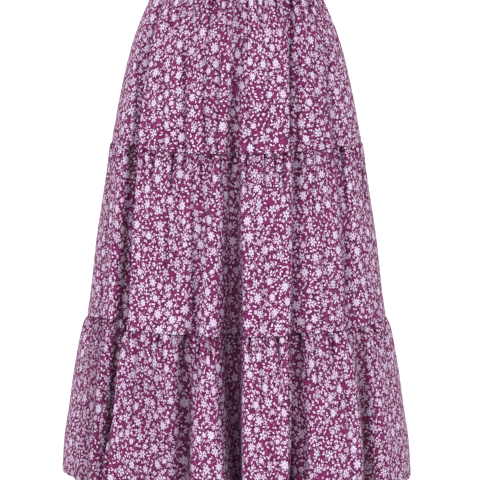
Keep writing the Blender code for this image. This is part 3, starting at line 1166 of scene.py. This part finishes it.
    def columns_along(self, take: Array, lengths: Array) -> Array:
        """Places each column along its ring: cloth bunches in the gathers, and lies flat between.

        Args:
            take: The gathers' take-up at each row and column.
            lengths: Each ring's length.

        Returns:
            How far along its ring each column is at each row.
        """
        flat = self.flat
        step = np.diff(flat)[None, :]
        between = (take[:, 1:] + take[:, :-1]) / 2
        room = self.densest_bunch * np.sum(between * step, axis=1)
        used = np.minimum(np.maximum(self.half - lengths, 0), room)
        bunch = self.densest_bunch * used / np.maximum(room, 1e-9)
        pace = 1 - bunch[:, None] * between
        laid = np.concatenate([np.zeros((len(lengths), 1)), np.cumsum(pace * step, axis=1)], axis=1)
        laid *= (lengths / laid[:, -1])[:, None]
        mains = [self.main_place(j) for j in range(self.gathers.count // 2)]
        shares = np.array([0.0, *mains, 1.0])
        for row, length in zip(laid, lengths):
            strayed = shares * length - np.interp(shares * self.half, flat, row)
            row += np.interp(flat, shares * self.half, strayed)
        return laid

    def seam_shape(self) -> Array:
        """Draws the cloth in at the seams, and lets it puff out below the top one.

        Returns:
            The push outwards of each row.
        """
        below = self.drops
        left = self.length - below
        puffed = self.puff * (1 - bell(below, 0.004, 1)) * bell(below, self.puff_drop, 1.3)
        tucked = -self.seam_tuck * bell(below, 0.0028)
        if self.sewn_below:
            tucked = tucked - 0.7 * self.seam_tuck * bell(left, 0.004)
        else:
            tucked = tucked - self.hem_tuck * bell(left - self.hem_turn, 0.0012)
        return puffed + tucked

    def hand_creases(self, side: Side, sideways: Array) -> tuple[Array, Array]:
        """Adds the listed creases.

        Args:
            side: Which half.
            sideways: How far each point is from the middle, towards +X, in metres.

        Returns:
            How far each point is pushed in, in metres, and its painted shade, from 0 to 1.
        """
        below = 1000 * self.drops
        length = 1000 * self.length
        sunk, light = np.zeros_like(sideways), np.ones_like(sideways)
        for crease in self.creases[side]:
            share = np.clip((below - crease.top) / (crease.foot - crease.top), 0, 1)
            opening = share / 0.25 if crease.top > 0 else np.ones_like(share)
            closing = (1 - share) / 0.4 if crease.foot < length - 2 else np.ones_like(share)
            ends = np.clip(np.minimum(opening, closing), 0, 1)
            ends = (ends * ends * (3 - 2 * ends))[:, None]
            centre = crease.top_across + (crease.foot_across - crease.top_across) * share
            away = 1000 * sideways - centre[:, None]
            wide = np.where(away < 0, crease.width_before, crease.width_after)
            trough = ends * bell(away, wide)
            sunk += crease.depth / 1000 * trough
            # Painted shade: the print is darkened along each crease's bottom.
            light *= 1 - crease.shade * trough
        return sunk, 1 - light

    def grid(self, drape: Drape, side: Side) -> Grid:
        """Works out the panel's points.

        Args:
            drape: The skirt's form.
            side: Which half.

        Returns:
            The points by row and column, where each lies on the flat cloth, and the painted shade
            there, from 0 to 1.
        """
        flat, drops = self.flat, self.drops
        ring, facing, inward, along = drape.rings(LEVELS[self.level] - drops, side)
        push, take = self.relief()
        push = push + self.ripples(side)
        push = push + self.seam_shape()[:, None]
        push = push - self.side_tuck * bell(self.from_sides, self.side_tuck_width)
        places = self.columns_along(take, along[:, -1])
        read = np.empty((len(drops), self.columns, 5))
        for row, at in enumerate(places):
            for index, values in enumerate((*ring[row].T, *facing[row].T, inward[row])):
                read[row, :, index] = np.interp(at, along[row], values)
        plan, out, depth = read[:, :, :2], read[:, :, 2:4], read[:, :, 4]
        out = out / np.linalg.norm(out, axis=2, keepdims=True)
        sunk, creased = self.hand_creases(side, plan[:, :, 0])
        push = push - sunk
        top = drape.level_height(self.level, plan)
        bottom = drape.level_height(self.level + 1, plan)
        deep = np.clip(depth, 0, None)
        if not self.sewn_below:
            bottom = bottom + self.hem_lift * deep
        rise = top + (bottom - top) * (drops / self.length)[:, None]
        points = np.concatenate([plan + push[:, :, None] * out, rise[:, :, None]], axis=2)
        cloth = np.stack(np.broadcast_arrays(flat[None, :], -drops[:, None]), axis=2)
        # Painted shade: darker the deeper the cloth lies in a fold, along the gathers, in a line
        # under the seam and in the creases.
        folded = self.fold_shade * (1 - bell(deep, self.shallow_fold, 1.5))
        folded += self.fold_shade * np.minimum(deep / self.deepest_fold, 1) ** 1.5
        seam = self.seam_shade * bell(drops, self.seam_shade_drop)[:, None]
        shade = 1 - (1 - folded) * (1 - self.painted_gather_lines(places)) * (1 - seam) * (1 - creased)
        return self.with_turnings((points, cloth, shade), plan[0], out)

    def with_turnings(self, grid: Grid, seam_line: Array, out: Array) -> Grid:
        """Adds the seam allowances, which lie up behind the seams, or the hem's turning.

        Args:
            grid: The panel's own points, flat cloth and painted shade.
            seam_line: The top seam in plan, before the gathers push the cloth.
            out: The outward directions in plan.

        Returns:
            The same three, with rows added above and below.
        """
        points, cloth, shade = grid
        above, below = [], []
        for up, inset in zip((self.allowance, self.fold_back), self.top_insets):
            moved, laid = points[0].copy(), cloth[0].copy()
            moved[:, :2] = seam_line - inset * out[0]
            moved[:, 2] += up
            laid[:, 1] += up
            above.append((moved, laid))
        # Each row of the turning stands a little behind a row of the panel, given by its index,
        # so that the turning never comes through.
        turned = ((-1, 0.0006), (-2, 0.0011), (-5 if self.sewn_below else -7, 0.0012))
        for index, inset in turned:
            moved, laid = points[index].copy(), cloth[-1].copy()
            moved[:, :2] -= inset * out[index]
            laid[:, 1] += cloth[-1, 0, 1] - cloth[index, 0, 1] - turned[0][1]
            below.append((moved, laid))
        points = np.concatenate([[r[0] for r in above], points, [r[0] for r in below]])
        cloth = np.concatenate([[r[1] for r in above], cloth, [r[1] for r in below]])
        shade = np.concatenate([shade[:1].repeat(2, 0), shade, shade[-1:].repeat(3, 0)])
        return points, cloth, shade

    def build(self, drape: Drape, side: Side, sides: ClothSides) -> bpy.types.Object:
        """Makes one half of the tier.

        Args:
            drape: The skirt's form.
            side: Which half.
            sides: The cloth's right and wrong side.

        Returns:
            The finished piece.
        """
        points, cloth, shade = self.grid(drape, side)
        back = self.back_shift if side is Side.BACK else 0.0
        shift = (self.print_shift[0] * self.level + back, self.print_shift[1] * self.level)
        foot = self.allowance if self.sewn_below else self.hem_turn
        flat = (self.half, self.length + self.allowance + foot)
        grid = (points, cloth + shift, shade)
        return finish_sheet(self.name, side, grid, sides)

    def hem_line(self, drape: Drape, side: Side) -> Array:
        """Gives the row of points where the hem is sewn, 10 mm above its edge."""
        return self.grid(drape, side)[0][self.hem_row]


@dataclass
class Waistband:
    """An elasticated casing: cloth folded over at the top, ruched by the elastic inside."""

    top: float = 0.0175
    bottom: float = WAIST_SEAM
    half_breadth: float = 0.1180
    front: float = 0.0860
    back: float = 0.0890
    flare: float = 0.0030
    cut_width: float = 0.76
    cut_height: float = 0.074
    pleats: int = 54
    ruche: float = 0.0028
    bulge: float = 0.0008
    depth_through: float = 0.0040
    top_radius: float = 0.0013
    columns: int = 420

    def profile(self) -> list[tuple[float, float, float]]:
        """Draws the casing's section, from the seam up the outside and down the inside.

        Returns:
            For each row: its height, its inset from the outside, and its share of the ruching.
        """
        rows = []
        shoulder = self.top - self.top_radius
        for share in np.linspace(0, 1, 15):
            height = self.bottom + (shoulder - self.bottom) * share
            puff = math.sin(math.pi * (0.06 + 0.88 * share)) ** 0.6
            rows.append((height, -self.bulge * math.sin(math.pi * share), puff))
        for turn in (30, 60, 90, 120, 150):
            angle = math.radians(turn)
            inset = self.depth_through / 2 * (1 - math.cos(angle))
            rows.append((shoulder + self.top_radius * math.sin(angle), inset, 0.35))
        for share in np.linspace(0, 1, 7):
            height = shoulder - (shoulder - self.bottom - 0.001) * share
            rows.append((height, self.depth_through, 0.2 * math.sin(math.pi * share) ** 0.5 + 0.05))
        return rows

    def grid(self, side: Side) -> Grid:
        """Works out the band's points.

        Args:
            side: Which half.

        Returns:
            The points by row and column, where each lies on the flat cloth, and the painted shade
            in the ruching's hollows, from 0 to 1.
        """
        start, end = side.span
        shares = np.linspace(0, 1, self.columns)
        angles = np.radians(start + (end - start) * shares)
        depth = np.where(np.cos(angles) > 0, self.front, self.back)
        rng = np.random.default_rng(7 if side is Side.FRONT else 8)
        edges = np.arange(self.pleats) + rng.uniform(-0.3, 0.3, self.pleats)
        wave = np.zeros_like(shares)
        for place in np.sort(edges / self.pleats):
            away = np.abs(shares - place) * self.pleats
            wave -= rng.uniform(0.7, 1.3) * bell(away, 0.24, 1.4)
        quiet = 1 - bell(np.minimum(shares, 1 - shares) * self.pleats, 0.8)
        points, cloth, shades = [], [], []
        run = 0.0
        last: Optional[tuple[float, float]] = None
        for height, inset, puff in self.profile():
            if last is not None:
                run += math.hypot(height - last[0], inset - last[1])
            last = (height, inset)
            grow = self.flare * (self.top - height) / (self.top - self.bottom)
            breadth = self.half_breadth + grow
            deep = depth + grow
            plan = np.stack([breadth * np.sin(angles), -deep * np.cos(angles)], axis=1)
            out = np.stack([deep * np.sin(angles), -breadth * np.cos(angles)], axis=1)
            out /= np.linalg.norm(out, axis=1, keepdims=True)
            push = self.ruche * puff * (wave + 0.5) * quiet - inset
            level = np.full(self.columns, height)
            points.append(np.column_stack([plan + push[:, None] * out, level]))
            # Painted shade: the print is darkened in the hollows of the ruching.
            shades.append(np.clip(-wave * quiet * puff, 0, 1) * 0.75)
            cloth.append(np.column_stack([shares * self.cut_width / 2, np.full_like(level, run)]))
        return np.array(points), np.array(cloth), np.array(shades)

    def build(self, side: Side, sides: ClothSides) -> bpy.types.Object:
        """Makes one half of the waistband.

        Args:
            side: Which half.
            sides: The cloth's right and wrong side.

        Returns:
            The finished piece.
        """
        points, cloth, shade = self.grid(side)
        shift = (9.7 if side is Side.FRONT else 11.3, 3.7)
        grid = (points[:, ::-1], cloth[:, ::-1] + shift, shade[:, ::-1])
        flat = (self.cut_width / 2, self.cut_height)
        return finish_sheet("waistband", side, grid, sides)

    def sewn_line(self, side: Side) -> Array:
        """Gives the row of points where the casing is sewn, just above the waist seam."""
        return self.grid(side)[0][1]


@dataclass
class Stitching:
    """Rows of machine stitches that lie on the cloth."""

    pitch: float = 0.0030
    length: float = 0.0022
    radius: float = 0.00026
    lift: float = 0.00012

    def model_stitch(self) -> bpy.types.Object:
        """Models one stitch: a short thread, thickest in its middle.

        Returns:
            The stitch, lying along Z at the origin.
        """
        bpy.ops.object.select_all(action="DESELECT")
        bpy.ops.mesh.primitive_cylinder_add(
            vertices=5, radius=0.55 * self.radius, depth=self.length, location=(0.0, 0.0, 0.0)
        )
        stitch = bpy.context.active_object
        bpy.ops.object.mode_set(mode="EDIT")
        bpy.ops.mesh.select_all(action="SELECT")
        bpy.ops.mesh.bisect(plane_co=(0.0, 0.0, 0.0), plane_no=(0.0, 0.0, 1.0))
        bpy.ops.transform.resize(value=(1.8, 1.8, 1.0))
        bpy.ops.object.mode_set(mode="OBJECT")
        bpy.ops.object.shade_smooth()
        return stitch

    def lay(self, name: str, path: Array) -> bpy.types.Object:
        """Lays a row of stitches along a path, joined as one piece.

        Args:
            name: The piece's name.
            path: Points along the row, which runs to the right as seen from outside.

        Returns:
            The joined stitches.
        """
        first = self.model_stitch()
        out = outward(path)
        steps = np.linalg.norm(np.diff(path, axis=0), axis=1)
        run = np.concatenate([[0.0], np.cumsum(steps)])
        placed = []
        for start in np.arange(self.pitch, run[-1] - 2 * self.pitch, self.pitch):
            ends = [
                Vector([float(np.interp(at, run, path[:, axis])) for axis in range(3)])
                for at in (start, start + self.length)
            ]
            away = Vector([float(np.interp(start, run, out[:, axis])) for axis in (0, 1)] + [0.0])
            turn = (ends[1] - ends[0]).to_track_quat("Z", "Y").to_matrix().to_4x4()
            turn.translation = (ends[0] + ends[1]) / 2 + self.lift * away.normalized()
            copy = bpy.data.objects.new(name, first.data.copy())
            copy.data.transform(turn)
            bpy.context.scene.collection.objects.link(copy)
            placed.append(copy)
        bpy.data.objects.remove(first)
        bpy.ops.object.select_all(action="DESELECT")
        for copy in placed:
            copy.select_set(True)
        bpy.context.view_layer.objects.active = placed[0]
        bpy.ops.object.join()
        row = bpy.context.active_object
        row.name = name
        return row

    def sew(self, name: str, path: Array, thread: bpy.types.Material, slot: str) -> None:
        """Makes and finishes one row of stitches.

        Args:
            name: The piece's name.
            path: Points along the row.
            thread: The thread's material.
            slot: Not used.
        """
        row = self.lay(name, path)
        row.data.materials.clear()
        row.data.materials.append(thread)
        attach(row, "root")
        log.info("%s: %d faces", row.name, len(row.data.polygons))


# The studio


@dataclass
class Studio:
    """The camera, the soft lights and the pale floor."""

    distance: float = 4.5
    pitch: float = 6.5
    metres_a_pixel: float = 1.58e-3
    picture_width: int = 480
    sensor_width: float = 36.0
    target: tuple[float, float, float] = (0.0055, 0.0, -0.41735)
    floor_height: float = -1.30
    floor_size: float = 160.0
    floor_glow: float = 0.15
    floor_colour: Colour = (0.96, 0.96, 0.96, 1.0)
    sky: float = 0.80
    softness: float = 32.0

    def place_camera(self) -> bpy.types.Object:
        """Sets the camera at the photograph's angle.

        Returns:
            The camera.
        """
        pitch = math.radians(self.pitch)
        forward = Vector((0.0, math.cos(pitch), -math.sin(pitch)))
        data = bpy.data.cameras.new("camera")
        data.sensor_width = self.sensor_width
        data.lens = self.distance / self.metres_a_pixel * self.sensor_width / self.picture_width
        data.clip_end = 100.0
        camera = bpy.data.objects.new("camera", data)
        bpy.context.scene.collection.objects.link(camera)
        camera.location = Vector(self.target) - self.distance * forward
        camera.rotation_euler = forward.to_track_quat("-Z", "Y").to_euler()
        bpy.context.scene.camera = camera
        return camera

    def add_sun(self, name: str, azimuth: float, elevation: float, strength: float) -> None:
        """Adds a large soft light, far away.

        Args:
            name: The light's name.
            azimuth: Where it is, in degrees from the front towards +X.
            elevation: How high it is, in degrees.
            strength: Its strength on a surface that faces it.
        """
        data = bpy.data.lights.new(name, "SUN")
        data.energy = strength
        data.angle = math.radians(self.softness)
        light = bpy.data.objects.new(name, data)
        bpy.context.scene.collection.objects.link(light)
        turn, rise = math.radians(azimuth), math.radians(elevation)
        towards = Vector(
            (math.sin(turn) * math.cos(rise), -math.cos(turn) * math.cos(rise), math.sin(rise))
        )
        light.rotation_euler = towards.to_track_quat("Z", "Y").to_euler()

    def light(self) -> None:
        """Adds the sky light, a soft light in front and a weaker one behind."""
        world = bpy.data.worlds.new("studio")
        world.use_nodes = True
        bpy.context.scene.world = world
        sky = world.node_tree.nodes["Background"]
        sky.inputs["Color"].default_value = WHITE
        sky.inputs["Strength"].default_value = self.sky
        self.add_sun("front_light", azimuth=-8.0, elevation=34.0, strength=1.12)
        self.add_sun("back_light", azimuth=165.0, elevation=50.0, strength=0.5)
        bpy.context.scene.view_settings.view_transform = "Standard"

    def lay_floor(self) -> bpy.types.Object:
        """Lays the floor.

        Returns:
            The floor.
        """
        bpy.ops.object.select_all(action="DESELECT")
        place = (0.0, 0.0, self.floor_height)
        bpy.ops.mesh.primitive_plane_add(size=self.floor_size, location=place)
        floor = bpy.context.active_object
        floor.name = "studio_floor"
        bench = Bench("pale_floor")
        finish = {
            "Base Color": self.floor_colour,
            "Roughness": 0.9,
            "Emission Color": WHITE,
            "Emission Strength": self.floor_glow,
        }
        for name, value in finish.items():
            bench.shader.inputs[name].default_value = value
        floor.data.materials.append(bench.material)
        floor.visible_diffuse = False
        return floor


@dataclass
class TieredSkirt:
    """The whole skirt: its form, its tiers, its waistband and their cloth."""

    drape: Drape = field(default_factory=Drape)
    waistband: Waistband = field(default_factory=Waistband)
    cloth: SkirtCloth = field(default_factory=SkirtCloth)
    thread: Thread = field(default_factory=Thread)
    stitching: Stitching = field(default_factory=Stitching)
    tiers: tuple[GatheredTier, ...] = (
        GatheredTier(
            "upper_tier", 0, 1.20, UPPER_GATHERS, 440, 0.0032, UPPER_CREASES, (0.0022, 0.0017)
        ),
        GatheredTier("middle_tier", 1, 1.60, MIDDLE_GATHERS, 600, 0.0045, MIDDLE_CREASES),
        GatheredTier("lower_tier", 2, 2.18, LOWER_GATHERS, 720, 0.0048, LOWER_CREASES),
    )

    def build(self) -> None:
        """Makes every piece, from the waist down."""
        right = self.cloth.make("ditsy_cloth_right_side", wrong_side=False)
        wrong = self.cloth.make("ditsy_cloth_wrong_side", wrong_side=True)
        thread = self.thread.make("plum_thread")
        for side in Side:
            self.waistband.build(side, (right, wrong))
            for tier in self.tiers:
                tier.build(self.drape, side, (right, wrong))
            band_line = self.waistband.sewn_line(side)
            hem_line = self.tiers[-1].hem_line(self.drape, side)
            for place, path, slot in (
                ("waistband", band_line, "waistband_cloth"),
                ("hem", hem_line, "printed_cloth"),
            ):
                self.stitching.sew(f"{place}_stitches_{side.value}", path, thread, slot)


def main() -> None:
    """Builds the studio and the skirt."""
    logging.basicConfig(level=logging.INFO, format="%(name)s: %(message)s")
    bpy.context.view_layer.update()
    studio = Studio()
    studio.place_camera()
    studio.light()
    studio.lay_floor()
    TieredSkirt().build()


if __name__ == "__main__":
    main()
